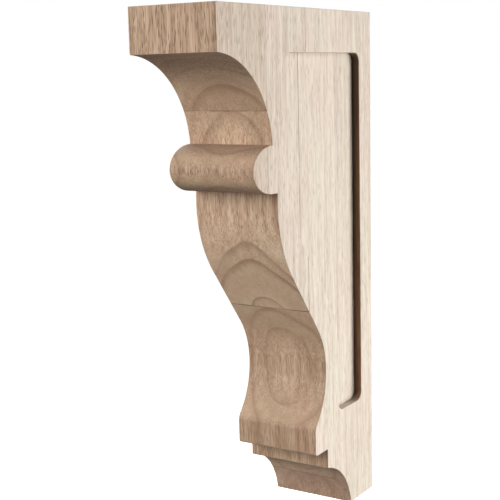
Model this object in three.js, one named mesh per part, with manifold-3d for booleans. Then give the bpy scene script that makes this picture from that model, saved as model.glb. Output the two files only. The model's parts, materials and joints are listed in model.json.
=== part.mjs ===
// A wooden corbel bracket: one glued-up block of pale hardwood, sawn to a moulded front
// and sunk with one panel in each side. Lengths are in millimetres.
// The wall is the plane Y = 0, the front faces -Y and +Z is up. The origin is the centre
// of the flat back face.
import * as THREE from 'three';
import { mergeVertices } from 'three/addons/utils/BufferGeometryUtils.js';
import Module from 'manifold-3d';

// The block
const width = 63.5;
const height = 356;
const depth = 197;

// The moulded front from the top down
const capHeight = 28.6;       // square band under the top face
const coveHeight = 57;        // from under the cap to the top of the bead
const coveHollow = 15.3;      // how deep the cove is cut behind the line between its ends
const beadHeight = 30.8;      // the half-round bead
const beadReach = 23.5;       // how far the bead stands in front of the cove's foot
const crestDrop = 8.4;        // upright band from under the bead to where the scroll begins
const scrollStraight = 0.405; // straight part of the scroll for each unit of its two radii
const crestShare = 0.605;     // share of the two radii that the convex crest has

// The moulded front from the bottom up
const footHeight = 37.5;      // the small cove at the bottom
const footHollow = 8.2;       // how deep that cove is cut behind the line between its ends
const neckHeight = 14;
const shoulderHeight = 20.2;
const waistRise = 37.4;       // from the shoulder's upper corner to the waist of the scroll

// Steps of the front, each one measured forward (or back) from the one below it
const footDepth = 36;         // the bottom face, from the wall
const footRun = 35;           // from the front of the bottom face forward to the neck
const shoulderStep = 17;      // the shoulder stands in front of the neck
const waistStep = 16;         // the waist lies behind the shoulder
const scrollRise = 60.7;      // the crest stands in front of the waist
const coveStep = 4.8;         // the foot of the cove lies in front of the crest

// Rounded corners of the shoulder
const shoulderTopRound = 8;
const shoulderUnderRound = 2.5;

// The sunk panel in each side
const panelSink = 6;          // how deep the panel is sunk
const rimBack = 18;           // wood left along the wall
const rimFront = 18;          // wood left behind the foot of the cove and behind the waist
const panelSill = 23.5;       // lower edge of the panel, above the shoulder's underside
const panelBend = 13;         // the panel's front edge bends this far above the waist
const panelRound = 6.5;       // radius of the cutter, left in the panel's corners

// Flats that stand for a curve stay this close to it
const facetError = 0.03;
// The panel's cutting body stands this far out of the side that it is cut into
const cutClear = 1;

// Heights, with the origin half way up
const topZ = height / 2;
const bottomZ = topZ - height;
const capUnderZ = topZ - capHeight;
const beadTopZ = capUnderZ - coveHeight;
const beadZ = beadTopZ - beadHeight / 2;
const beadUnderZ = beadTopZ - beadHeight;
const crestZ = beadUnderZ - crestDrop;
const neckUnderZ = bottomZ + footHeight;
const shoulderUnderZ = neckUnderZ + neckHeight;
const shoulderTopZ = shoulderUnderZ + shoulderHeight;
const waistZ = shoulderTopZ + waistRise;
const sillZ = shoulderUnderZ + panelSill;

// Fronts of the steps, as Y
const footY = -footDepth;
const neckY = footY - footRun;
const shoulderY = neckY - shoulderStep;
const waistY = shoulderY + waistStep;
const crestY = waistY - scrollRise;
const coveFootY = crestY - coveStep;
const frontY = -depth;

const at = (y, z) => new THREE.Vector2(y, z);

// The outlines are drawn in the plane of Y and Z, seen from +X with the front to the left.
// Each of these helpers carries an outline on from its last point.

function arcTo(outline, centre, end, clockwise) {
  const start = outline[outline.length - 1];
  const radius = centre.distanceTo(end);
  const from = Math.atan2(start.y - centre.y, start.x - centre.x);
  const to = Math.atan2(end.y - centre.y, end.x - centre.x);
  const curve = new THREE.EllipseCurve(centre.x, centre.y, radius, radius, from, to, clockwise);
  const flat = 2 * Math.acos(1 - facetError / radius);
  const count = Math.ceil(curve.getLength() / radius / flat);
  outline.push(...curve.getPoints(count).slice(1, -1), end);
}

// An arc that is hollowed behind the straight line to its end
function hollowTo(outline, end, hollow) {
  const start = outline[outline.length - 1];
  const chord = end.clone().sub(start);
  const half = chord.length() / 2;
  const radius = (half * half + hollow * hollow) / (2 * hollow);
  const forward = at(-chord.y, chord.x).normalize().multiplyScalar(chord.y < 0 ? -1 : 1);
  const centre = start.clone().add(end).divideScalar(2).addScaledVector(forward, radius - hollow);
  arcTo(outline, centre, end, chord.y < 0);
}

// A corner between two straight lines, rounded
function roundTo(outline, corner, next, radius) {
  const back = outline[outline.length - 1].clone().sub(corner).normalize();
  const on = next.clone().sub(corner).normalize();
  const half = Math.acos(back.dot(on)) / 2;
  const centre = corner.clone().addScaledVector(back.clone().add(on).normalize(), radius / Math.sin(half));
  outline.push(corner.clone().addScaledVector(back, radius / Math.tan(half)));
  arcTo(outline, centre, corner.clone().addScaledVector(on, radius / Math.tan(half)), back.cross(on) > 0);
}

// The S of the scroll, down and back to its waist: a convex arc, a straight and a hollow arc,
// upright at both ends. The slope of the straight follows from how far the S goes down and back.
function scrollTo(outline, waist) {
  const crest = outline[outline.length - 1];
  const back = waist.x - crest.x;
  const drop = crest.y - waist.y;
  const across = back - scrollStraight * drop;
  const down = drop + scrollStraight * back;
  const slope = Math.atan2(across, down) + Math.acos(drop / Math.hypot(across, down));
  const radii = drop / (Math.sin(slope) + scrollStraight * Math.cos(slope));
  const crestRadius = radii * crestShare;
  const waistRadius = radii - crestRadius;
  const normal = at(-Math.cos(slope), -Math.sin(slope));
  const crestCentre = at(crest.x + crestRadius, crest.y);
  const waistCentre = at(waist.x - waistRadius, waist.y);
  arcTo(outline, crestCentre, crestCentre.clone().addScaledVector(normal, crestRadius), false);
  outline.push(waistCentre.clone().addScaledVector(normal, -waistRadius));
  arcTo(outline, waistCentre, waist, true);
}

// The hollow below the waist, and the round by which it turns into the shoulder's upright face
function shoulderTo(outline) {
  const radius = (waistStep ** 2 + waistRise ** 2) / (2 * waistStep);
  const centre = at(waistY - radius, waistZ);
  const roundY = shoulderY + shoulderTopRound;
  const fall = Math.sqrt((radius + shoulderTopRound) ** 2 - (roundY - centre.x) ** 2);
  const roundCentre = at(roundY, waistZ - fall);
  const meeting = centre.clone().lerp(roundCentre, radius / (radius + shoulderTopRound));
  arcTo(outline, centre, meeting, true);
  arcTo(outline, roundCentre, at(shoulderY, roundCentre.y), false);
}

// The front of the block, from the top down
function frontOutline() {
  const outline = [at(frontY, topZ), at(frontY, capUnderZ)];
  hollowTo(outline, at(coveFootY, beadTopZ), coveHollow);

  const bead = new THREE.EllipseCurve(
    coveFootY, beadZ, beadReach, beadHeight / 2, Math.PI / 2, Math.PI * 3 / 2, false);
  const beadFlats = Math.ceil(Math.PI / 2 / Math.acos(1 - facetError / beadReach));
  outline.push(...bead.getPoints(beadFlats).slice(1));

  outline.push(at(crestY, beadUnderZ), at(crestY, crestZ));
  scrollTo(outline, at(waistY, waistZ));
  shoulderTo(outline);
  roundTo(outline, at(shoulderY, shoulderUnderZ), at(neckY, shoulderUnderZ), shoulderUnderRound);
  outline.push(at(neckY, shoulderUnderZ), at(neckY, neckUnderZ));
  hollowTo(outline, at(footY, bottomZ), footHollow);
  return outline;
}

function blockOutline() {
  return [...frontOutline(), at(0, bottomZ), at(0, topZ)];
}

// The panel's top, sill and back are straight. Its front edge is upright beside the cove, bends
// back in an S like the scroll's from the middle of the bead on, and is upright again below.
function panelOutline() {
  const upper = at(coveFootY + rimFront, beadZ);
  const lower = at(waistY + rimFront, waistZ + panelBend);
  const topFront = at(upper.x, capUnderZ);
  const topBack = at(-rimBack, capUnderZ);
  const sillFront = at(lower.x, sillZ);
  const sillBack = at(-rimBack, sillZ);

  const outline = [at(-rimBack, beadZ)];
  roundTo(outline, topBack, topFront, panelRound);
  roundTo(outline, topFront, upper, panelRound);
  outline.push(upper);
  scrollTo(outline, lower);
  roundTo(outline, sillFront, sillBack, panelRound);
  roundTo(outline, sillBack, topBack, panelRound);
  return outline;
}

// An outline made solid across the block, from one X to another
function slab(outline, fromX, toX) {
  const geometry = new THREE.ExtrudeGeometry(new THREE.Shape(outline), {
    depth: toX - fromX,
    bevelEnabled: false,
  });
  const alongY = new THREE.Vector3(0, 1, 0);
  const alongZ = new THREE.Vector3(0, 0, 1);
  const alongX = new THREE.Vector3(1, 0, 0);
  geometry.applyMatrix4(new THREE.Matrix4().makeBasis(alongY, alongZ, alongX));
  return geometry.translate(fromX, 0, 0);
}

const wasm = await Module();
wasm.setup();

function toSolid(geometry) {
  geometry.deleteAttribute('normal');
  geometry.deleteAttribute('uv');
  const merged = mergeVertices(geometry);
  return new wasm.Manifold(new wasm.Mesh({
    numProp: 3,
    vertProperties: new Float32Array(merged.attributes.position.array),
    triVerts: new Uint32Array(merged.index.array),
  }));
}

function toGeometry(solid) {
  const mesh = solid.getMesh();
  const geometry = new THREE.BufferGeometry();
  geometry.setAttribute('position', new THREE.BufferAttribute(mesh.vertProperties, 3));
  geometry.setIndex(new THREE.BufferAttribute(mesh.triVerts, 1));
  geometry.computeVertexNormals();
  return geometry;
}

function corbel() {
  const side = width / 2;
  const floor = side - panelSink;
  const panel = panelOutline();
  const block = toSolid(slab(blockOutline(), -side, side));
  const rightPanel = toSolid(slab(panel, floor, side + cutClear));
  const leftPanel = toSolid(slab(panel, -side - cutClear, -floor));
  return toGeometry(block.subtract(rightPanel).subtract(leftPanel));
}

// Raw, sanded rubberwood
const bareWood = new THREE.MeshStandardMaterial({ color: 0xd8bfa4, roughness: 0.75, metalness: 0 });

const bracket = new THREE.Mesh(corbel(), bareWood);
bracket.name = 'corbel_bracket';

const part = new THREE.Group();
part.add(bracket);

export default part;
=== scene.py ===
# %% [markdown]
# # A wooden corbel bracket
# A corbel stands out from a wall and carries a shelf, a mantel or a beam. This one is a
# block of rubberwood, glued up from four boards, sawn to a moulded front, sunk with a panel
# in each side, sanded and left raw. The frame gives its solid, its size and its place. The
# lesson draws the block afresh over that solid, with finer curves and eased edges, because
# light catches on those, and then grows the wood in it.

# %% Load the frame
import json
import math

import bmesh
import bpy
from mathutils import Euler, Matrix, Vector

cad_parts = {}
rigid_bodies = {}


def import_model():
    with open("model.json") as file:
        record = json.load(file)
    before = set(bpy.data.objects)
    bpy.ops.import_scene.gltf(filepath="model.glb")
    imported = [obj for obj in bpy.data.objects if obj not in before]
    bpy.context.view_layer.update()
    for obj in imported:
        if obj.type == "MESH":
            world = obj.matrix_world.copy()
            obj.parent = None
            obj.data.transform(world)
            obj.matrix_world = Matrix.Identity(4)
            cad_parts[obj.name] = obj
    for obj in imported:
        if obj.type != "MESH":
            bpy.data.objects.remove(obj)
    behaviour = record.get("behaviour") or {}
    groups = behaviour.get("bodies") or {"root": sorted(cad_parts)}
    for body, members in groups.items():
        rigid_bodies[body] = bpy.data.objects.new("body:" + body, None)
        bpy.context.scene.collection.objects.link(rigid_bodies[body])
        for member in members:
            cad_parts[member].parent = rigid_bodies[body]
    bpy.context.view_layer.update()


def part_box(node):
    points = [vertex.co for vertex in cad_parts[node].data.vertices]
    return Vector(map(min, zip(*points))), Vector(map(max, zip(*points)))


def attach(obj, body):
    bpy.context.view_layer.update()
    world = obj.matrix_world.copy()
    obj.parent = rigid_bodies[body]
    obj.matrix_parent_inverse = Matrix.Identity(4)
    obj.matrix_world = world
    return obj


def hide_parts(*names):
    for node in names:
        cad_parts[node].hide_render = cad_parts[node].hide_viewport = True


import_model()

mm = 0.001
node = "corbel_bracket"
low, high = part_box(node)
print("the solid measures", [round(size / mm, 1) for size in high - low], "mm")

# %% [markdown]
# ## Sizes of the moulding
# The overall sizes come from the frame. The steps of the moulding are the maker's own sizes
# for this pattern, so each one is written once: the heights from the top down and from the
# bottom up, and the steps forward and back from the wall. The front faces -Y, the wall is
# the plane Y = 0, and the outline is drawn on the right side face, in Y and Z.

# %% Heights and steps of the moulding
side = high.x
top = high.z
bottom = low.z
front = low.y
wall = high.y

cap_under = top - 28.6 * mm
bead_top = cap_under - 57 * mm
bead_under = bead_top - 30.8 * mm
bead_middle = (bead_top + bead_under) / 2
crest = bead_under - 8.4 * mm

neck_under = bottom + 37.5 * mm
shoulder_under = neck_under + 14 * mm
shoulder_top = shoulder_under + 20.2 * mm
waist = shoulder_top + 37.4 * mm

foot_front = wall - 36 * mm
neck_front = foot_front - 35 * mm
shoulder_front = neck_front - 17 * mm
waist_front = shoulder_front + 16 * mm
crest_front = waist_front - 60.7 * mm
cove_foot = crest_front - 4.8 * mm
print("the scroll falls", round((crest - waist) / mm, 1), "mm from its crest to its waist")

# %% [markdown]
# ## Drawing with one point
# A moulding is a profile of lines and arcs that is the same right across. It could be cut
# from a block with many booleans, but a joiner draws the profile first, and so does this
# lesson. A tiny plane is merged to one point. Extruding the point draws a line, and spinning
# it draws an arc, so every curve is a true arc with as many steps as it needs.

# %% A pen that draws lines and arcs
arc_step = math.radians(2.5)


def at(y, z):
    return Vector((y, z))


def start_outline(place):
    """Puts one new point on the right side face."""
    bpy.ops.mesh.select_all(action="DESELECT")
    bpy.ops.mesh.primitive_plane_add(size=mm, location=(side, *place))
    bpy.ops.mesh.merge(type="CENTER")


def pen():
    """Where the outline has got to: its last point is the only one selected."""
    points = bmesh.from_edit_mesh(bpy.context.edit_object.data).verts
    return next(point.co.yz for point in points if point.select)


def line_to(place):
    step = Vector((0, *(place - pen())))
    bpy.ops.mesh.extrude_vertices_move(TRANSFORM_OT_translate={"value": step})


def spin_round(centre, angle):
    """Turns the last point round a centre. Without a window, spin turns against its axis."""
    steps = math.ceil(abs(angle) / arc_step)
    bpy.ops.mesh.spin(steps=steps, angle=angle, center=(side, *centre), axis=(-1, 0, 0))


def arc_to(centre, end):
    """An arc to the end point, the short way round the centre."""
    from_centre = pen() - centre
    to_end = end - centre
    spin_round(centre, math.atan2(from_centre.cross(to_end), from_centre.dot(to_end)))


print(f"an arc turns at most {math.degrees(arc_step):.1f} degrees with each step")

# %% [markdown]
# ## Hollows and rounded corners
# Two curves come back again and again: the hollow of a cove, which is cut in behind the
# straight line between its ends, and the rounded corner, which meets two lines smoothly.
# Their centres could be typed in, but then a change of one size would break the curve. They
# are worked out from the points that the curve has to meet instead.

# %% A hollow and a rounded corner
def hollow_to(end, hollow):
    """An arc that is cut in behind the straight line to its end."""
    start = pen()
    chord = end - start
    half = chord.length / 2
    radius = (half ** 2 + hollow ** 2) / (2 * hollow)
    forward = at(chord.y, -chord.x).normalized()
    arc_to((start + end) / 2 + forward * (radius - hollow), end)


def round_to(corner, towards, radius):
    """A line to a corner that is rounded off in the direction of the next point."""
    back = (pen() - corner).normalized()
    on = (towards - corner).normalized()
    half = back.angle(on) / 2
    centre = corner + (back + on).normalized() * radius / math.sin(half)
    line_to(corner + back * radius / math.tan(half))
    arc_to(centre, corner + on * radius / math.tan(half))


# %% [markdown]
# ## The S-curve
# Joiners call it an ogee: a convex arc, a straight and a hollow arc, upright at both ends,
# so that it runs smoothly on into the flat above and the hollow below. The scroll has one,
# and the panel's edge follows it. It could be a free curve with handles, but a cutter is
# ground to true arcs. How far the curve falls and goes back settles its slope and radii.

# %% A convex arc, a straight and a hollow arc
s_straight = 0.405   # length of the straight for each unit of the two radii together
crest_share = 0.605  # what the convex arc has of the two radii together


def s_curve_to(end):
    start = pen()
    back = end.x - start.x
    drop = start.y - end.y
    across = back - s_straight * drop
    down = drop + s_straight * back
    slope = math.atan2(across, down) + math.acos(drop / math.hypot(across, down))
    radii = drop / (math.sin(slope) + s_straight * math.cos(slope))
    crest_radius = radii * crest_share
    waist_radius = radii - crest_radius
    outward = at(-math.cos(slope), -math.sin(slope))
    crest_centre = start + at(crest_radius, 0)
    waist_centre = end - at(waist_radius, 0)
    arc_to(crest_centre, crest_centre + outward * crest_radius)
    line_to(waist_centre - outward * waist_radius)
    arc_to(waist_centre, end)
    print(f"an S-curve with a slope of {math.degrees(slope):.1f} degrees")


# %% [markdown]
# ## The bead
# The bead is the round nose below the cove. It stands out half as far again as a half circle
# would, so its outline is half an ellipse, which spin can't draw. A half circle is spun
# first, and its points are then stretched forwards with the resize operator.

# %% Spin the bead and stretch it
bead_reach = 23.5 * mm
slack = mm / 10


def select_point(place):
    """Takes the pen back to a point that is already drawn."""
    mesh = bmesh.from_edit_mesh(bpy.context.edit_object.data)
    nearest = min(mesh.verts, key=lambda point: (point.co.yz - place).length)
    bpy.ops.mesh.select_all(action="DESELECT")
    nearest.select_set(True)
    mesh.select_flush_mode()


def draw_bead():
    spin_round(at(cove_foot, bead_middle), math.pi)
    last = pen()
    mesh = bmesh.from_edit_mesh(bpy.context.edit_object.data)
    for point in mesh.verts:
        level = bead_under - slack < point.co.z < bead_top + slack
        point.select_set(level and point.co.y < cove_foot + slack)
    mesh.select_flush_mode()
    stretch = bead_reach / (bead_top - bead_middle)
    centre = (side, cove_foot, bead_middle)
    bpy.ops.transform.resize(value=(1, stretch, 1), center_override=centre)
    select_point(last)
    print(f"the bead is stretched {stretch:.2f} times")


# %% [markdown]
# ## The shoulder
# Below the waist the front hollows forwards again, and a round turns it into the upright
# face of the shoulder. A bevel could round that corner, but it would leave a break in the
# curve. Two arcs touch without one where their centres lie as far apart as both radii
# together, and that gives the round its height.

# %% The hollow below the waist and the round
shoulder_top_round = 8 * mm
shoulder_under_round = 2.5 * mm


def draw_shoulder():
    step = waist_front - shoulder_front
    rise = waist - shoulder_top
    radius = (step ** 2 + rise ** 2) / (2 * step)
    centre = at(waist_front - radius, waist)
    reach = radius + shoulder_top_round
    round_front = shoulder_front + shoulder_top_round
    fall = math.sqrt(reach ** 2 - (round_front - centre.x) ** 2)
    round_centre = at(round_front, waist - fall)
    arc_to(centre, centre.lerp(round_centre, radius / reach))
    arc_to(round_centre, at(shoulder_front, round_centre.y))
    print("the hollow below the waist has a radius of", round(radius / mm, 1), "mm")


# %% [markdown]
# ## The outline of the block
# The front is drawn from the top down, as the saw goes: square cap, cove, bead, scroll,
# shoulder, neck and a small cove to the foot. The flat bottom and back close it. One outline
# is better here than a stack of parts, because the real block is one solid with no seams
# between its mouldings.

# %% Draw the outline
cove_hollow = 15.3 * mm
foot_hollow = 8.2 * mm
same_place = mm / 100


def draw_block():
    start_outline(at(front, top))
    line_to(at(front, cap_under))
    hollow_to(at(cove_foot, bead_top), cove_hollow)
    draw_bead()
    line_to(at(crest_front, bead_under))
    line_to(at(crest_front, crest))
    s_curve_to(at(waist_front, waist))
    draw_shoulder()
    under = at(neck_front, shoulder_under)
    round_to(at(shoulder_front, shoulder_under), under, shoulder_under_round)
    line_to(under)
    line_to(at(neck_front, neck_under))
    hollow_to(at(foot_front, bottom), foot_hollow)
    line_to(at(wall, bottom))
    line_to(at(wall, top))
    line_to(at(front, top))


# An empty mesh to draw in
bpy.ops.object.select_all(action="DESELECT")
bpy.ops.mesh.primitive_plane_add(size=mm, location=(0, 0, 0))
block = bpy.context.object
block.name = "moulded_block"
bpy.ops.object.mode_set(mode="EDIT")
bpy.ops.mesh.delete(type="VERT")
draw_block()
bpy.ops.mesh.select_all(action="SELECT")
bpy.ops.mesh.remove_doubles(threshold=same_place)
print("points in the outline:", len(bmesh.from_edit_mesh(block.data).verts))

# %% [markdown]
# ## Across the block
# The moulding runs straight across, from one side face to the other. The outline's edges are
# extruded to the middle of the block, and the side is closed with one flat face. Only the
# right half is modelled, because the left is its mirror image.

# %% Extrude the outline to the middle
def select_edges(test):
    """Selects the edges that pass the test and says how many there are."""
    bpy.ops.mesh.select_mode(type="EDGE")
    bpy.ops.mesh.select_all(action="DESELECT")
    mesh = bmesh.from_edit_mesh(bpy.context.edit_object.data)
    found = [edge for edge in mesh.edges if test(edge)]
    for edge in found:
        edge.select_set(True)
    return len(found)


def on_side(edge):
    return all(abs(point.co.x - side) < same_place for point in edge.verts)


bpy.ops.mesh.extrude_edges_move(TRANSFORM_OT_translate={"value": (-side, 0, 0)})
print("edges round the side face:", select_edges(on_side))
bpy.ops.mesh.edge_face_add()
bpy.ops.mesh.select_all(action="SELECT")
bpy.ops.mesh.normals_make_consistent(inside=False)

# %% [markdown]
# ## Eased edges
# Nobody leaves a razor edge on a bracket: a pass with sandpaper takes about half a
# millimetre off each outer corner, and that thin slope catches the light. Inner corners
# stay sharp. A bevel modifier could do it, but it can't tell inner corners from outer ones,
# so the outer ones are found by the angle between their faces. The bevel is made now, while
# the side is still a single face, because it runs cleanly round that.

# %% Ease the outer corners
ease = 0.45 * mm
corner_angle = math.radians(30)


def is_outer_corner(edge):
    return len(edge.link_faces) == 2 and edge.calc_face_angle_signed() > corner_angle


print("edges eased:", select_edges(is_outer_corner))
bpy.ops.mesh.bevel(offset=ease, segments=2, affect="EDGES", clamp_overlap=False)

# %% [markdown]
# ## The sunk panel
# A router sinks the panel: straight walls, a flat floor, and corners that keep the radius of
# the cutter. A boolean cut would give nearly the same shape, but it leaves long slivers that
# spoil the shading of the rim. So the side's face is taken out, and the panel's opening is
# drawn with the same pen and closed with a face of its own. It is drawn wider by the width
# of the eased rim, which is rolled over inside it in the next step.

# %% Draw the panel's opening
panel_sink = 6 * mm
panel_rim = 18 * mm
panel_sill = shoulder_under + 23.5 * mm
panel_bend = waist + 13 * mm
panel_round = 6.5 * mm


def select_side():
    """Selects the largest face that looks to the right."""
    mesh = bmesh.from_edit_mesh(bpy.context.edit_object.data)
    found = max(mesh.faces, key=lambda face: face.normal.x * face.calc_area())
    found.select_set(True)


def draw_opening():
    back = wall - panel_rim + ease
    upper = at(cove_foot + panel_rim - ease, bead_middle)
    lower = at(waist_front + panel_rim - ease, panel_bend)
    top_back = at(back, cap_under + ease)
    top_front = at(upper.x, cap_under + ease)
    sill_front = at(lower.x, panel_sill - ease)
    sill_back = at(back, panel_sill - ease)
    radius = panel_round + ease
    start_outline(at(back, bead_middle))
    round_to(top_back, top_front, radius)
    round_to(top_front, upper, radius)
    line_to(upper)
    s_curve_to(lower)
    round_to(sill_front, sill_back, radius)
    round_to(sill_back, top_back, radius)
    line_to(at(back, bead_middle))
    bpy.ops.mesh.select_linked()
    bpy.ops.mesh.remove_doubles(threshold=same_place)


bpy.ops.mesh.select_mode(type="FACE")
bpy.ops.mesh.select_all(action="DESELECT")
select_side()
bpy.ops.mesh.delete(type="ONLY_FACE")
bpy.ops.mesh.select_mode(type="VERT")
draw_opening()
bpy.ops.mesh.edge_face_add()

# %% [markdown]
# ## The rim and the floor of the panel
# The rim of the panel is eased like the outer corners. A bevel could ease it after the floor
# is sunk, but two insets that go in and down follow the same quarter round and need no
# picking of edges. The first turns through half of it and the second through the rest. An
# extrusion then takes the face straight down to the floor.

# %% Roll over the rim and sink the floor
def selected_face(measure):
    """Measures the one face that is selected."""
    mesh = bmesh.from_edit_mesh(bpy.context.edit_object.data)
    return measure(next(face for face in mesh.faces if face.select))


if selected_face(lambda face: face.normal.x) < 0:
    bpy.ops.mesh.flip_normals()
turn = math.cos(math.radians(45))
bpy.ops.mesh.inset(thickness=ease * turn, depth=-ease * (1 - turn))
bpy.ops.mesh.inset(thickness=ease * (1 - turn), depth=-ease * turn)
down = Vector((ease - panel_sink, 0, 0))
bpy.ops.mesh.extrude_region_move(TRANSFORM_OT_translate={"value": down})
floor_x = selected_face(lambda face: face.calc_center_median().x)
print("the floor lies", round((side - floor_x) / mm, 2), "mm deep")

# %% [markdown]
# ## The side round the panel
# Between the outer edge of the side and the rim of the panel lies the flat sanded side face.
# A bridge would join the two loops point by point, in long twisted strips, because they have
# different shapes. The fill operator spans them with flat triangles instead, and on a flat
# face those don't show.

# %% Fill the side round the panel
print("edges round the side:", select_edges(lambda edge: on_side(edge) and edge.is_boundary))
bpy.ops.mesh.fill(use_beauty=True)
bpy.ops.mesh.select_all(action="SELECT")
bpy.ops.mesh.normals_make_consistent(inside=False)
bpy.ops.object.mode_set(mode="OBJECT")

# %% [markdown]
# ## The other half
# Both sides of the real bracket have the same panel. The half could be copied and scaled by
# minus one, but that turns it inside out. The mirror modifier makes the left half the right
# way out and welds the two along the middle. Then faces that meet at less than the angle
# below are shaded smooth, so curves look round and the eased edges stay crisp.

# %% Mirror the half and shade it
smooth_below = math.radians(12)

mirror = block.modifiers.new("other half", "MIRROR")
mirror.use_axis = (True, False, False)
mirror.use_clip = True
mirror.merge_threshold = same_place
bpy.ops.object.modifier_apply(modifier=mirror.name)
bpy.ops.object.shade_smooth_by_angle(angle=smooth_below)
print("faces in the block:", len(block.data.polygons))

# %% [markdown]
# ## Tools for a material
# A shader is a small network. One function adds a node with its settings and its links, and
# another turns the hex colours that people read into the linear light that shaders add up.

# %% A node, a socket and a colour
def socket(sockets, name):
    """Finds a socket by name or number among those that the node shows."""
    shown = [entry for entry in sockets if entry.enabled]
    if isinstance(name, int):
        return shown[name]
    return next(entry for entry in shown if entry.name == name)


def add_node(tree, kind, settings, links=(), output=0):
    """Adds a node and gives back one of its outputs. Settings in lower case are the node's
    own, and those with a capital or a number are its inputs."""
    made = tree.nodes.new("ShaderNode" + kind)
    own = [name for name in settings if str(name)[0].islower()]
    for name in own:
        setattr(made, name, settings[name])
    for name in [name for name in settings if name not in own]:
        socket(made.inputs, name).default_value = settings[name]
    for name, source in dict(links).items():
        tree.links.new(source, socket(made.inputs, name))
    return socket(made.outputs, output) if made.outputs else made


def linear(colour):
    """A hex colour as linear red, green, blue and alpha."""
    shares = [int(colour[place:place + 2], 16) / 255 for place in (1, 3, 5)]
    return [share / 12.92 if share < 0.04045 else ((share + 0.055) / 1.055) ** 2.4
            for share in shares] + [1]


print(f"middle grey, #808080, is {linear('#808080')[0]:.3f} in linear light")

# %% [markdown]
# ## How the boards grew
# Wood is a solid pattern. An image wrapped round the block would show the same face of the
# wood everywhere, so the rings, fibres and pores are made in three dimensions and the
# moulded surface cuts through them, just as a cutter does. That gives arches in the cove and
# loops in the waist without drawing any. Each board has its own pith, the middle of its
# rings, which lies in the back of the board or behind it, so the rings bow forwards.
#
# All lengths are in millimetres: across the bracket, in depth from the wall, and in height.
# Besides its back and its pith, each board has the radii of its dark rings, how clear they are,
# how dark its pores are, its own faint tint on the front and on the sides, and how dark the glue
# line at its back is. The side tint is partly painted shade, darkest on the front board's side.

# %% The four boards, from the wall to the front
boards = [
    {"back": 0, "pith": (4, 2), "rings": (20, 45, 62, 80), "clear": 0.5, "pores": 0.5,
     "front_tint": "#E2DCE0", "side_tint_and_shade": "#F7F8F7", "glue": 0},
    {"back": 43.5, "pith": (1, 54), "rings": (8, 25.5, 38, 60), "clear": 0.6, "pores": 0.5,
     "front_tint": "#F1EEEC", "side_tint_and_shade": "#FEFEFE", "glue": 0.3},
    {"back": 94.5, "pith": (0, 85), "rings": (16, 38.5, 43.5, 56.5), "clear": 1, "pores": 0.65,
     "front_tint": "#FFFFFF", "side_tint_and_shade": "#FCFCFC", "glue": 0.8},
    {"back": 143.5, "pith": (3, 114), "rings": (40, 55, 66, 75), "clear": 0.75, "pores": 0.85,
     "front_tint": "#E9E4E0", "side_tint_and_shade": "#F2EDE9", "glue": 0.35},
]


def grain_place(tree):
    """The place in the wood: right, depth and height in millimetres."""
    place = add_node(tree, "TexCoord", {}, output="Object")
    scale = {"operation": "MULTIPLY", 1: (1 / mm, -1 / mm, 1 / mm)}
    return add_node(tree, "VectorMath", scale, {0: place})


def by_board(tree, depth, kind, values):
    """Picks each board's own value, a number, a vector or a colour, by depth from the wall."""
    chosen = None
    for board, value in zip(boards, values):
        settings = {"data_type": kind, "Factor": 0, "A": value, "B": value}
        links = {}
        if chosen:
            behind = {"operation": "GREATER_THAN", 1: board["back"]}
            links = {"A": chosen, "Factor": add_node(tree, "Math", behind, {0: depth})}
        chosen = add_node(tree, "Mix", settings, links)
    return chosen


backs = [board["back"] for board in boards] + [(wall - front) / mm]
thick = [round(further - nearer, 1) for nearer, further in zip(backs, backs[1:])]
print("the boards are", thick, "mm thick")

# %% [markdown]
# ## Noise to grow it from
# Nothing in wood is even. Each pattern starts from noise that is stretched to the size of
# the real thing, and a ramp picks out the part of it that is wanted. A product lets one
# pattern weaken another, and where several lie over each other, the strongest one shows.
# These four could be wired by hand each time, but as functions they keep the recipes short.

# %% Noise, ramps, products and the strongest
def noise(tree, place, cell, settings, output="Fac"):
    """Noise whose cells have the given size in millimetres, right, deep and high."""
    scale = [1 / length for length in cell]
    scaled = add_node(tree, "VectorMath", {"operation": "MULTIPLY", 1: scale}, {0: place})
    return add_node(tree, "TexNoise", {"Scale": 1, **settings}, {"Vector": scaled}, output)


def ramp(tree, value, start, end, least=0, most=1):
    """Brings a value from one range, start to end, into another, and stops at its ends."""
    settings = {"From Min": start, "From Max": end, "To Min": least, "To Max": most}
    return add_node(tree, "MapRange", settings, {"Value": value})


def product(tree, *values):
    """Multiplies nodes' outputs and plain numbers. The first one is an output."""
    result = values[0]
    for value in values[1:]:
        if isinstance(value, bpy.types.NodeSocket):
            result = add_node(tree, "Math", {"operation": "MULTIPLY"}, {0: result, 1: value})
        else:
            result = add_node(tree, "Math", {"operation": "MULTIPLY", 1: value}, {0: result})
    return result


def strongest(tree, values):
    """The largest of several nodes' outputs."""
    result = values[0]
    for value in values[1:]:
        result = add_node(tree, "Math", {"operation": "MAXIMUM"}, {0: result, 1: value})
    return result


# %% [markdown]
# ## The pith and the bands
# Rings run round the pith, so a point's distance from it tells which ring it is in. A wave
# texture draws rings too, but far too even ones. So noise first moves the point by a few
# millimetres, across and in depth, and changes slowly up the tree. Soft light and dark bands
# then follow the distance alone.

# %% The distance from the pith, and the soft bands
bend = 9
bend_across = 38
bend_along = 150
band_width = 11
band_range = (0.25, 0.75)


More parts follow.
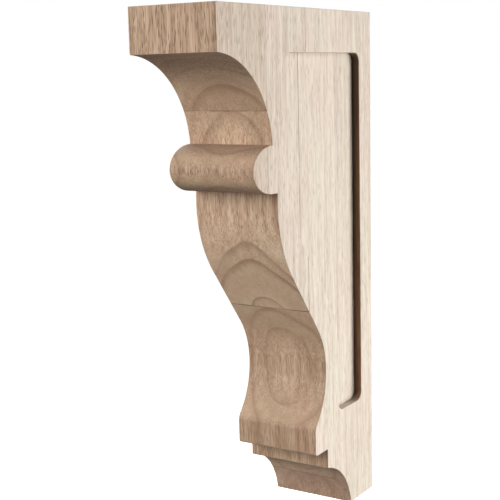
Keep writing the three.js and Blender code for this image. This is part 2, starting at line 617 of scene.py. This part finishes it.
def from_pith(tree, place, depth):
    """How many millimetres a point lies from the pith of its board."""
    pith = by_board(tree, depth, "VECTOR", [(*board["pith"], 0) for board in boards])
    flow = noise(tree, place, (bend_across, bend_across, bend_along), {"Detail": 1}, "Color")
    middle = {"operation": "SUBTRACT", 1: (0.5, 0.5, 0.5)}
    flow = add_node(tree, "VectorMath", middle, {0: flow})
    flow = add_node(tree, "VectorMath", {"operation": "SCALE", "Scale": bend}, {0: flow})
    out = add_node(tree, "VectorMath", {"operation": "SUBTRACT"}, {0: place, 1: pith})
    out = add_node(tree, "VectorMath", {"operation": "ADD"}, {0: out, 1: flow})
    out = add_node(tree, "VectorMath", {"operation": "MULTIPLY", 1: (1, 1, 0)}, {0: out})
    return add_node(tree, "VectorMath", {"operation": "LENGTH"}, {0: out}, "Value")


def ring_band(tree, radius):
    """Soft bands, light and dark, between the lines."""
    settings = {"noise_dimensions": "1D", "Scale": 1 / band_width, "Detail": 1.5, "Roughness": 0.5}
    return ramp(tree, add_node(tree, "TexNoise", settings, {"W": radius}), *band_range)


# %% [markdown]
# ## Dark rings
# A rubber tree grows nearly all year, so its rings are faint, and only a few of them end in
# a darker line. Such a line darkens slowly outwards, as growth slows, and stops short where
# growth starts again. Noise could place the lines too, but the arches that they draw are
# what the eye reads first, so each board's radii were chosen to put them where they show.

# %% The dark lines of each board
late_width = 4.5
line_edge = 0.7
line_fades = 26
line_least = 0.5


def ring_line(tree, place, depth, radius):
    """Each board's dark lines, from 0 to 1. They fade to half of that here and there."""
    lines = []
    for radii in zip(*(board["rings"] for board in boards)):
        own = by_board(tree, depth, "FLOAT", radii)
        beyond = add_node(tree, "Math", {"operation": "SUBTRACT"}, {0: radius, 1: own})
        darkens = ramp(tree, beyond, -late_width, 0)
        stops = ramp(tree, beyond, 0, line_edge, 1, 0)
        lines.append(product(tree, darkens, stops, darkens))
    fade = noise(tree, place, (line_fades, line_fades, 3 * line_fades), {"Detail": 0})
    fade = ramp(tree, fade, start=0.3, end=0.55, least=line_least)
    clear = by_board(tree, depth, "FLOAT", [board["clear"] for board in boards])
    return product(tree, strongest(tree, lines), fade, clear)


print("dark rings in each board:", [len(board["rings"]) for board in boards])

# %% [markdown]
# ## Fibres
# The fibres stand upright in this bracket, because wood is strongest along them and the
# bracket carries its load down the wall. They show as fine upright lines with broader
# streaks behind them. Real fibres are a fiftieth of a millimetre wide, far too fine to
# render, so bundles of them are drawn, a little under a millimetre wide.

# %% Fibres and streaks
fibre_width = 0.8
fibre_length = 18
streak_width = 4
streak_length = 90
streak_share = 0.5


def fibres(tree, place):
    """Fine fibres over broader streaks, from 0 to 1."""
    bundle = (fibre_width, fibre_width, fibre_length)
    streak = (streak_width, streak_width, streak_length)
    fine = noise(tree, place, bundle, {"Detail": 2, "Roughness": 0.6})
    broad = noise(tree, place, streak, {"Detail": 1})
    add = {"operation": "MULTIPLY_ADD", 1: streak_share}
    both = add_node(tree, "Math", add, {0: broad, 2: fine})
    return ramp(tree, both, start=0.53, end=0.97)


# %% [markdown]
# ## Pores
# Rubberwood is full of open pores, vessels that run up the tree like straws. A face along
# the grain cuts them lengthwise into fine dark dashes, and they come in swarms. Real ones
# are about 0.2 mm wide, which would vanish in the render, so they are drawn up to three
# times as wide. Noise can't make separate dashes. Voronoi cells can: each long thin cell
# holds one dash, and its colour serves as the dice that decide whether the dash shows.

# %% Pores as long thin cells
pore_apart = 0.64
pore_length = 8
dash_core = 0.2   # how far the full darkness reaches from the middle of a cell, in cells
dash_edge = 0.42  # where the dash ends, in cells
swarm_width = 8.2
swarm_length = 45
between_swarms = 0.3


def pores(tree, place, share):
    """Dashes from 0 to 1, dense in the swarms and scarce between them. Only a share shows.
    A cell's colour repeats where its point lies in it, so its channels are stirred together
    into a chance that doesn't."""
    scale = (1 / pore_apart, 1 / pore_apart, 1 / pore_length)
    scaled = add_node(tree, "VectorMath", {"operation": "MULTIPLY", 1: scale}, {0: place})
    cell = {"feature": "F1", "Scale": 1, "Randomness": 1}
    distance = add_node(tree, "TexVoronoi", cell, {"Vector": scaled}, "Distance")
    colour = add_node(tree, "TexVoronoi", cell, {"Vector": scaled}, "Color")
    stir = {"operation": "DOT_PRODUCT", 1: (7, 11, 5)}
    stirred = add_node(tree, "VectorMath", stir, {0: colour}, "Value")
    chance = add_node(tree, "Math", {"operation": "FRACT"}, {0: stirred})
    swarm = noise(tree, place, (swarm_width, swarm_width, swarm_length), {"Detail": 1})
    swarm = ramp(tree, swarm, start=0.36, end=0.62, least=between_swarms)
    swarm = product(tree, swarm, share)
    here = add_node(tree, "Math", {"operation": "LESS_THAN"}, {0: chance, 1: swarm})
    soft = {"interpolation_type": "SMOOTHSTEP", "From Min": dash_edge, "From Max": dash_core}
    dash = add_node(tree, "MapRange", soft, {"Value": distance})
    return product(tree, dash, here)


# %% [markdown]
# ## Glue lines
# The boards were glued face to face under pressure, and the block was sawn afterwards, so a
# joint shows only as a thin dark line where the grain changes. A groove in the mesh would be
# far too deep. The line is drawn where the depth is that of a board's back. Real ones are
# finer still than the 0.6 mm that shows in the render, and they fade here and there.

# %% The lines between the boards
glue_width = 0.6
glue_fades = 22
glue_least = 0.3


def glue_line(tree, place, depth):
    """The thin dark lines where two boards are glued together, from 0 to 1."""
    lines = []
    for board in boards[1:]:
        near = {"operation": "COMPARE", 1: board["back"], 2: glue_width / 2}
        lines.append(product(tree, add_node(tree, "Math", near, {0: depth}), board["glue"]))
    fade = noise(tree, place, (glue_fades, glue_fades, 2 * glue_fades), {"Detail": 1})
    fade = ramp(tree, fade, start=0.35, end=0.6, least=glue_least)
    return product(tree, strongest(tree, lines), fade)


# %% [markdown]
# ## Planed, moulded and end grain
# The sides and the back were planed and sanded flat, and the front was moulded by cutters. Here
# the sides are coloured pale and the moulded front browner: that is painted light, the sides
# coloured as if lit and the front as if in shade. Where a face cuts across the fibres, their open
# ends drink in the light, so end grain is the darkest. Separate materials would meet in hard
# lines, so the direction in which the surface faces tells the three apart and blends them.

# %% How the surface was cut
def facing(tree):
    """How far the surface looks sideways or back, and how far it looks up or down."""
    normal = add_node(tree, "TexCoord", {}, output="Normal")
    back = add_node(tree, "SeparateXYZ", {}, {0: normal}, "Y")
    normal = add_node(tree, "VectorMath", {"operation": "ABSOLUTE"}, {0: normal})
    sideways = add_node(tree, "SeparateXYZ", {}, {0: normal}, "X")
    upright = add_node(tree, "SeparateXYZ", {}, {0: normal}, "Z")
    # This sideways share paints the sides pale as if lit and the front brown as if in shade, and
    # it fades the rings and pores on the sanded faces.
    planed_and_lit = ramp(tree, strongest(tree, [sideways, back]), start=0.5, end=0.9)
    return planed_and_lit, upright


def mix(tree, factor, first, second, kind="MIX"):
    """Mixes two colours, each one a hex value or another node's output."""
    settings = {"data_type": "RGBA", "blend_type": kind}
    links = {}
    for name, value in (("Factor", factor), ("A", first), ("B", second)):
        if isinstance(value, bpy.types.NodeSocket):
            links[name] = value
        else:
            settings[name] = linear(value) if isinstance(value, str) else value
    return add_node(tree, "Mix", settings, links)


def tint(tree, depth, part):
    """Each board's own faint cast on the front, or on the sides its cast with painted shade."""
    return by_board(tree, depth, "RGBA", [linear(board[part]) for board in boards])


# %% [markdown]
# ## The colour of each cut
# One function colours each kind of cut. The sanded sides are plain fibre, pale and pink, and the
# front is browner: painted light, the sides coloured as if lit and the front as if in shade. The
# front has the soft bands as well, and its fibres show less where the cut slants across them. End
# grain gets a brown of its own, with specks for the open ends of the pores. The real dots are 0.2
# mm wide and far apart, so specks of 1.3 mm stand for a few at a time.

# %% Sanded, moulded and end-grain wood
# The sanded colours are paler than the band colours as painted light: the sides coloured as if
# lit, the front as if in shade.
sanded_dark = "#D3C3B2"
sanded_pale = "#F0E5D8"
band_dark = "#C4A58A"
band_pale = "#D9C0A5"
fibre_dark = "#BBA996"
end_grain = "#6E584A"
end_grain_share = 0.48
open_ends = "#4A372D"
open_ends_share = 0.35
speck = 1.3


def sanded_wood(tree, depth, fibre):
    wood = mix(tree, fibre, sanded_dark, sanded_pale)
    # The side tint darkens the front board's side partly as painted shade.
    return mix(tree, 1, wood, tint(tree, depth, "side_tint_and_shade"), "MULTIPLY")


def moulded_wood(tree, depth, fibre, band, along):
    bands = mix(tree, band, band_dark, band_pale)
    streaked = mix(tree, 1, bands, mix(tree, fibre, fibre_dark, "#FFFFFF"), "MULTIPLY")
    wood = mix(tree, along, bands, streaked)
    return mix(tree, 1, wood, tint(tree, depth, "front_tint"), "MULTIPLY")


def with_end_grain(tree, wood, place, upright):
    """The wood, browner and specked where it faces up or down."""
    across = ramp(tree, upright, start=0.7, end=1, most=end_grain_share)
    wood = mix(tree, across, wood, end_grain)
    specks = noise(tree, place, (speck, speck, speck), {"Detail": 1})
    specks = ramp(tree, specks, start=0.42, end=0.62)
    across = ramp(tree, upright, start=0.6, end=0.85, most=open_ends_share)
    return mix(tree, product(tree, specks, across), wood, open_ends)


# %% [markdown]
# ## Raw rubberwood
# The finish is bare wood, sanded and neither oiled nor varnished, so the eye sees a dry,
# chalky surface with hardly a highlight. One plain shader gives that: no coat, no sheen, a
# high roughness and the index of refraction of plain cellulose. A slow drift of hue keeps
# the large faces alive. Rings, pores and glue lines are laid over the colour. The rings and
# the pores are fainter on the sanded faces, which fine dust has paled. The pores are also
# slightly hollow, by bump alone, because they are far too small for a mesh.

# %% The material of the block
hue_width = 24
hue_length = 90
hue_pink = "#FFFAF9"
hue_green = "#FDFFFB"
ring_brown = "#7C5A42"
ring_moulded = 0.62
ring_planed = 0.15
pore_brown = "#53311C"
pore_dusty = "#94683F"
pore_planed = 0.85
pore_share_planed = 0.6
pore_hollow = 0.15 * mm
glue_brown = "#5C4230"


def raw_rubberwood():
    material = bpy.data.materials.new("raw_sanded_rubberwood")
    material.use_nodes = True
    tree = material.node_tree
    tree.nodes.clear()
    place = grain_place(tree)
    depth = add_node(tree, "SeparateXYZ", {}, {0: place}, "Y")
    planed_and_lit, upright = facing(tree)
    along = add_node(tree, "Math", {"operation": "SUBTRACT", 0: 1}, {1: upright})
    radius = from_pith(tree, place, depth)
    fibre = fibres(tree, place)

    moulded = moulded_wood(tree, depth, fibre, ring_band(tree, radius), along)
    # Painted light: the colour turns from the shaded brown of the front to the lit paleness of the
    # sides.
    wood = mix(tree, planed_and_lit, moulded, sanded_wood(tree, depth, fibre))
    hue = noise(tree, place, (hue_width, hue_width, hue_length), {"Detail": 1})
    drift = mix(tree, ramp(tree, hue, start=0.3, end=0.7), hue_pink, hue_green)
    wood = mix(tree, 1, wood, drift, "MULTIPLY")
    wood = with_end_grain(tree, wood, place, upright)

    line = ring_line(tree, place, depth, radius)
    line = product(tree, line, ramp(tree, planed_and_lit, 0, 1, ring_moulded, ring_planed))
    wood = mix(tree, line, wood, ring_brown)
    share = ramp(tree, planed_and_lit, 0, 1, 1, pore_share_planed)
    own = by_board(tree, depth, "FLOAT", [board["pores"] for board in boards])
    pore = product(tree, pores(tree, place, share), along, own)
    dash = product(tree, pore, ramp(tree, planed_and_lit, 0, 1, 1, pore_planed))
    wood = mix(tree, dash, wood, mix(tree, planed_and_lit, pore_brown, pore_dusty))
    wood = mix(tree, glue_line(tree, place, depth), wood, glue_brown)

    height = add_node(tree, "Math", {"operation": "MULTIPLY_ADD", 1: -1}, {0: pore, 2: fibre})
    relief = {"Strength": 0.35, "Distance": pore_hollow}
    bump = add_node(tree, "Bump", relief, {"Height": height})
    shader = {"Roughness": 0.72, "IOR": 1.5}
    surface = add_node(tree, "BsdfPrincipled", shader, {"Base Color": wood, "Normal": bump})
    add_node(tree, "OutputMaterial", {}, {"Surface": surface})
    print("nodes in the raw rubberwood:", len(tree.nodes))
    return material


# %% [markdown]
# ## Painted shade on the panel's walls
# The wall at the back of each panel faces the front from deep in the recess, and it is coloured
# dark as painted shade, dull and deep brown. The painted shade fades away forward along the
# panel's top and sill, is deepest next to the panel's floor and is darker near the top. It is the
# same wood, so it has the same fibres. A mask in the first material could do it, but the walls of
# the panel are faces of their own, and a second material keeps the first one simple.

# %% The painted shade on the panel's walls
# Where the painted shade starts and how far it fades, in millimetres from the wall, and its
# colours.
shade_from = panel_rim / mm + 1
shade_fades = 18
unshaded_wall = "#F2EADF"
shade_low = "#4A2E1C"
shade_low_edge = "#B58A66"
shade_high = "#160B04"
shade_high_edge = "#75593C"
wall_fibre_dark = "#C8BCB0"


def scorched_rubberwood():
    material = bpy.data.materials.new("panel_wall_painted_shade")
    material.use_nodes = True
    tree = material.node_tree
    tree.nodes.clear()
    place = grain_place(tree)
    across = add_node(tree, "SeparateXYZ", {}, {0: place}, "X")
    across = add_node(tree, "Math", {"operation": "ABSOLUTE"}, {0: across})
    depth = add_node(tree, "SeparateXYZ", {}, {0: place}, "Y")
    height = add_node(tree, "SeparateXYZ", {}, {0: place}, "Z")

    # Painted shade: darkest next to the panel's floor, browner out at the rim, and darker towards
    # the top.
    out = ramp(tree, across, (side - panel_sink) / mm, side / mm)
    lower = mix(tree, out, shade_low, shade_low_edge)
    upper = mix(tree, out, shade_high, shade_high_edge)
    painted_shade = mix(tree, ramp(tree, height, waist / mm, cap_under / mm), lower, upper)
    # The painted shade covers the back wall and fades out forward along the top and the sill.
    shade_share = ramp(tree, depth, shade_from, shade_from + shade_fades, 1, 0)
    wood = mix(tree, shade_share, unshaded_wall, painted_shade)
    streaks = mix(tree, fibres(tree, place), wall_fibre_dark, "#FFFFFF")
    wood = mix(tree, 1, wood, streaks, "MULTIPLY")
    shader = {"Roughness": 0.8, "IOR": 1.5}
    surface = add_node(tree, "BsdfPrincipled", shader, {"Base Color": wood})
    add_node(tree, "OutputMaterial", {}, {"Surface": surface})
    # This material paints the shade of the panel's walls.
    print("nodes in the scorched rubberwood:", len(tree.nodes))
    return material


# %% [markdown]
# ## Raw wood and painted shade on one block
# The whole block takes the raw wood. The walls of the panels are then picked out, by where they
# lie and by which way they face, and are given the painted shade, as by hand in edit mode with the
# Assign button.

# %% Give the panel's walls the painted shade
def is_panel_wall(face):
    """On one of the walls round a panel, below the eased rim."""
    place = face.calc_center_median()
    upright = abs(face.normal.x) < 0.5
    sunk = side - panel_sink < abs(place.x) < side - ease
    return upright and sunk and cove_foot < place.y < wall - panel_rim + ease


block.data.materials.append(raw_rubberwood())
block.data.materials.append(scorched_rubberwood())
bpy.ops.object.mode_set(mode="EDIT")
bpy.ops.mesh.select_mode(type="FACE")
bpy.ops.mesh.select_all(action="DESELECT")
panel_walls = [face for face in bmesh.from_edit_mesh(block.data).faces if is_panel_wall(face)]
print("faces in the panels' walls:", len(panel_walls))
for face in panel_walls:
    face.select_set(True)
block.active_material_index = 1
bpy.ops.object.material_slot_assign()
bpy.ops.object.mode_set(mode="OBJECT")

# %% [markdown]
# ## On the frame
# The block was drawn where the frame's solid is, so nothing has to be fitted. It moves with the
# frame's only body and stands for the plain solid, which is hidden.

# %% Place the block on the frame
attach(block, "root")
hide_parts(node)
print(block.name, "stands for", node)

# %% [markdown]
# ## The floor
# A product picture of pale wood wants a white ground that doesn't flood the shadows. A lit
# white plane would throw light back up at the bracket. This floor gives its own light to
# the camera alone, like a light table, and bounced light passes it by. It lies well below,
# because a corbel hangs on a wall and touches no floor.

# %% A white light table
floor_radius = 30
floor_drop = 0.6

bpy.ops.object.select_all(action="DESELECT")
floor_place = (0, 0, bottom - floor_drop)
bpy.ops.mesh.primitive_circle_add(
    vertices=96, radius=floor_radius, fill_type="NGON", location=floor_place)
floor = bpy.context.object
floor.name = "floor"
bpy.ops.object.transform_apply(location=True)
floor.visible_diffuse = False
floor.visible_glossy = False
floor.visible_shadow = False

white = bpy.data.materials.new("white_light_table")
white.use_nodes = True
white.node_tree.nodes.clear()
glow = {"Base Color": linear("#F4F4F2"), "Roughness": 0.9,
        "Emission Color": (1, 1, 1, 1), "Emission Strength": 1}
table = add_node(white.node_tree, "BsdfPrincipled", glow)
add_node(white.node_tree, "OutputMaterial", {}, {"Surface": table})
floor.data.materials.append(white)
print("the floor lies", round(floor_drop / mm), "mm below the bracket")

# %% [markdown]
# ## The room
# The room is white to the camera and nearly dark to the wood. One white world for both would
# fill the cove with light and take its shade away, so the world asks whether a ray comes
# straight from the camera. The Standard view shows the colours as they were chosen.

# %% The world
seen_strength = 1
felt_strength = 0.03

scene = bpy.context.scene
scene.view_settings.view_transform = "Standard"
scene.world = bpy.data.worlds.new("white_room")
scene.world.use_nodes = True
room = scene.world.node_tree
room.nodes.clear()
seen = add_node(room, "Background", {"Color": (1, 1, 1, 1), "Strength": seen_strength})
felt = add_node(room, "Background", {"Color": (1, 1, 1, 1), "Strength": felt_strength})
to_camera = add_node(room, "LightPath", {}, output="Is Camera Ray")
light = add_node(room, "MixShader", {}, {0: to_camera, 1: felt, 2: seen})
add_node(room, "OutputWorld", {}, {"Surface": light})

# %% [markdown]
# ## Studio light
# Soft white lamps. Those to the right light the side face and stand close to its normal, so
# that the rim of the panel throws no wide shadow on its floor. Those to the left in front
# rake across the moulding from above and leave the cove in shade. A weak one below stands
# for light that a pale table throws back. The last three light the left side, the back and
# the top, and stand where they leave the front as it is.

# %% Lamps
heart = Vector((0, (front + wall) / 2, 0))


def add_lamp(name, place, size, power):
    """A square area lamp that looks at the heart of the bracket."""
    place = Vector(place)
    turn = (heart - place).to_track_quat("-Z", "Y").to_euler()
    bpy.ops.object.light_add(type="AREA", location=place, rotation=turn)
    lamp = bpy.context.object
    lamp.name = name
    lamp.data.size = size
    lamp.data.energy = power
    print(f"{name}: {power} W at {(heart - place).length:.2f} m")


add_lamp("side_lamp", (1.7, 0.35, 0.6), 1.2, 16.5)
add_lamp("near_side_lamp", (0.7, 0.4, -0.25), 0.5, 6)
add_lamp("panel_lamp", (1.5, -1.2, 0.6), 1.2, 4)
add_lamp("front_lamp", (-1.2, -1.7, 0.5), 1.4, 37)
add_lamp("near_front_lamp", (-0.6, -1.2, 0.5), 0.6, 6)
add_lamp("bounce_lamp", (0.1, -0.6, -1.7), 1.2, 6)
add_lamp("left_lamp", (-1.7, 0.3, 0.3), 1.2, 16)
add_lamp("back_lamp", (-0.4, 1.8, 0.6), 1.2, 16)
add_lamp("top_lamp", (-0.6, 0.7, 1.6), 1.2, 16)

# %% [markdown]
# ## The camera
# It stands in front and to the right, a little lower than the top of the bracket, looks
# slightly down and is tilted by a degree or so. A camera could be nudged until it looks
# right, but lines that run away from it show every error, so its place and lens were worked
# out from the edges of the bracket in the photo.

# %% Camera
photo_width = 500
focal_pixels = 1100.2
camera_place = (0.3889, -0.7257, 0.1374)
azimuth = math.radians(32.58)
elevation = math.radians(9.16)
tilt = math.radians(-1.35)

bpy.ops.object.camera_add(location=camera_place)
camera = bpy.context.object
camera.data.lens = focal_pixels / photo_width * camera.data.sensor_width
aim = Euler((math.radians(90) - elevation, 0, azimuth)).to_matrix()
camera.rotation_euler = (aim @ Matrix.Rotation(tilt, 3, "Z")).to_euler()
camera.data.clip_start = 0.01
scene.camera = camera
print(f"the lens has {camera.data.lens:.1f} mm")
